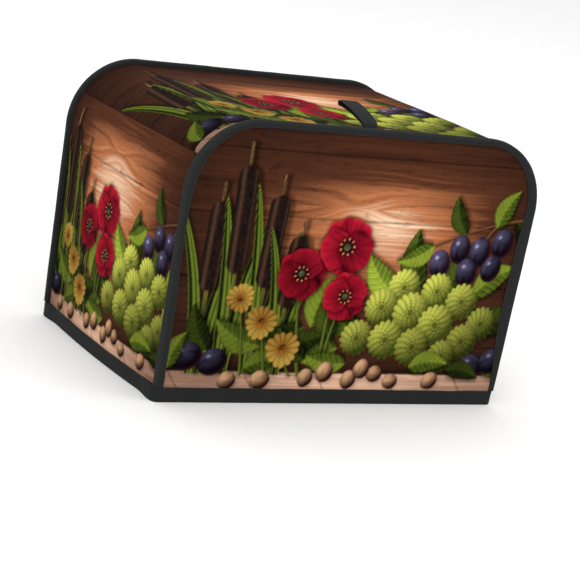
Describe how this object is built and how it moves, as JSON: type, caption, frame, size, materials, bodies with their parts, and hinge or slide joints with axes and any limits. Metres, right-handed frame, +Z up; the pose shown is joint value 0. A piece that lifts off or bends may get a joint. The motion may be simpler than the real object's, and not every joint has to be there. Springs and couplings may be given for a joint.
{
  "type": "toaster cover",
  "caption": "Boxy cloth appliance cover with rounded top corners, tape-bound seams, a taped hem round its open bottom and a short pull loop on top.",
  "frame": {"origin": "centre of the open bottom, on the surface that the hem stands on", "axes": "+X along the width, to the right seen from the front; +Y from the front panel to the back panel; +Z up"},
  "size_m": [0.3004, 0.2194, 0.2219],
  "materials": {
    "printed_cloth": "smooth printed polyester, matt, warm dark browns",
    "binding_tape": "woven charcoal binding tape, matt"
  },
  "bodies": {
    "root": {"front_panel": "printed_cloth", "back_panel": "printed_cloth", "left_panel": "printed_cloth", "top_panel": "printed_cloth", "right_panel": "printed_cloth", "front_binding": "binding_tape", "back_binding": "binding_tape", "hem_binding": "binding_tape", "pull_loop": "binding_tape"}
  },
  "joints": []
}
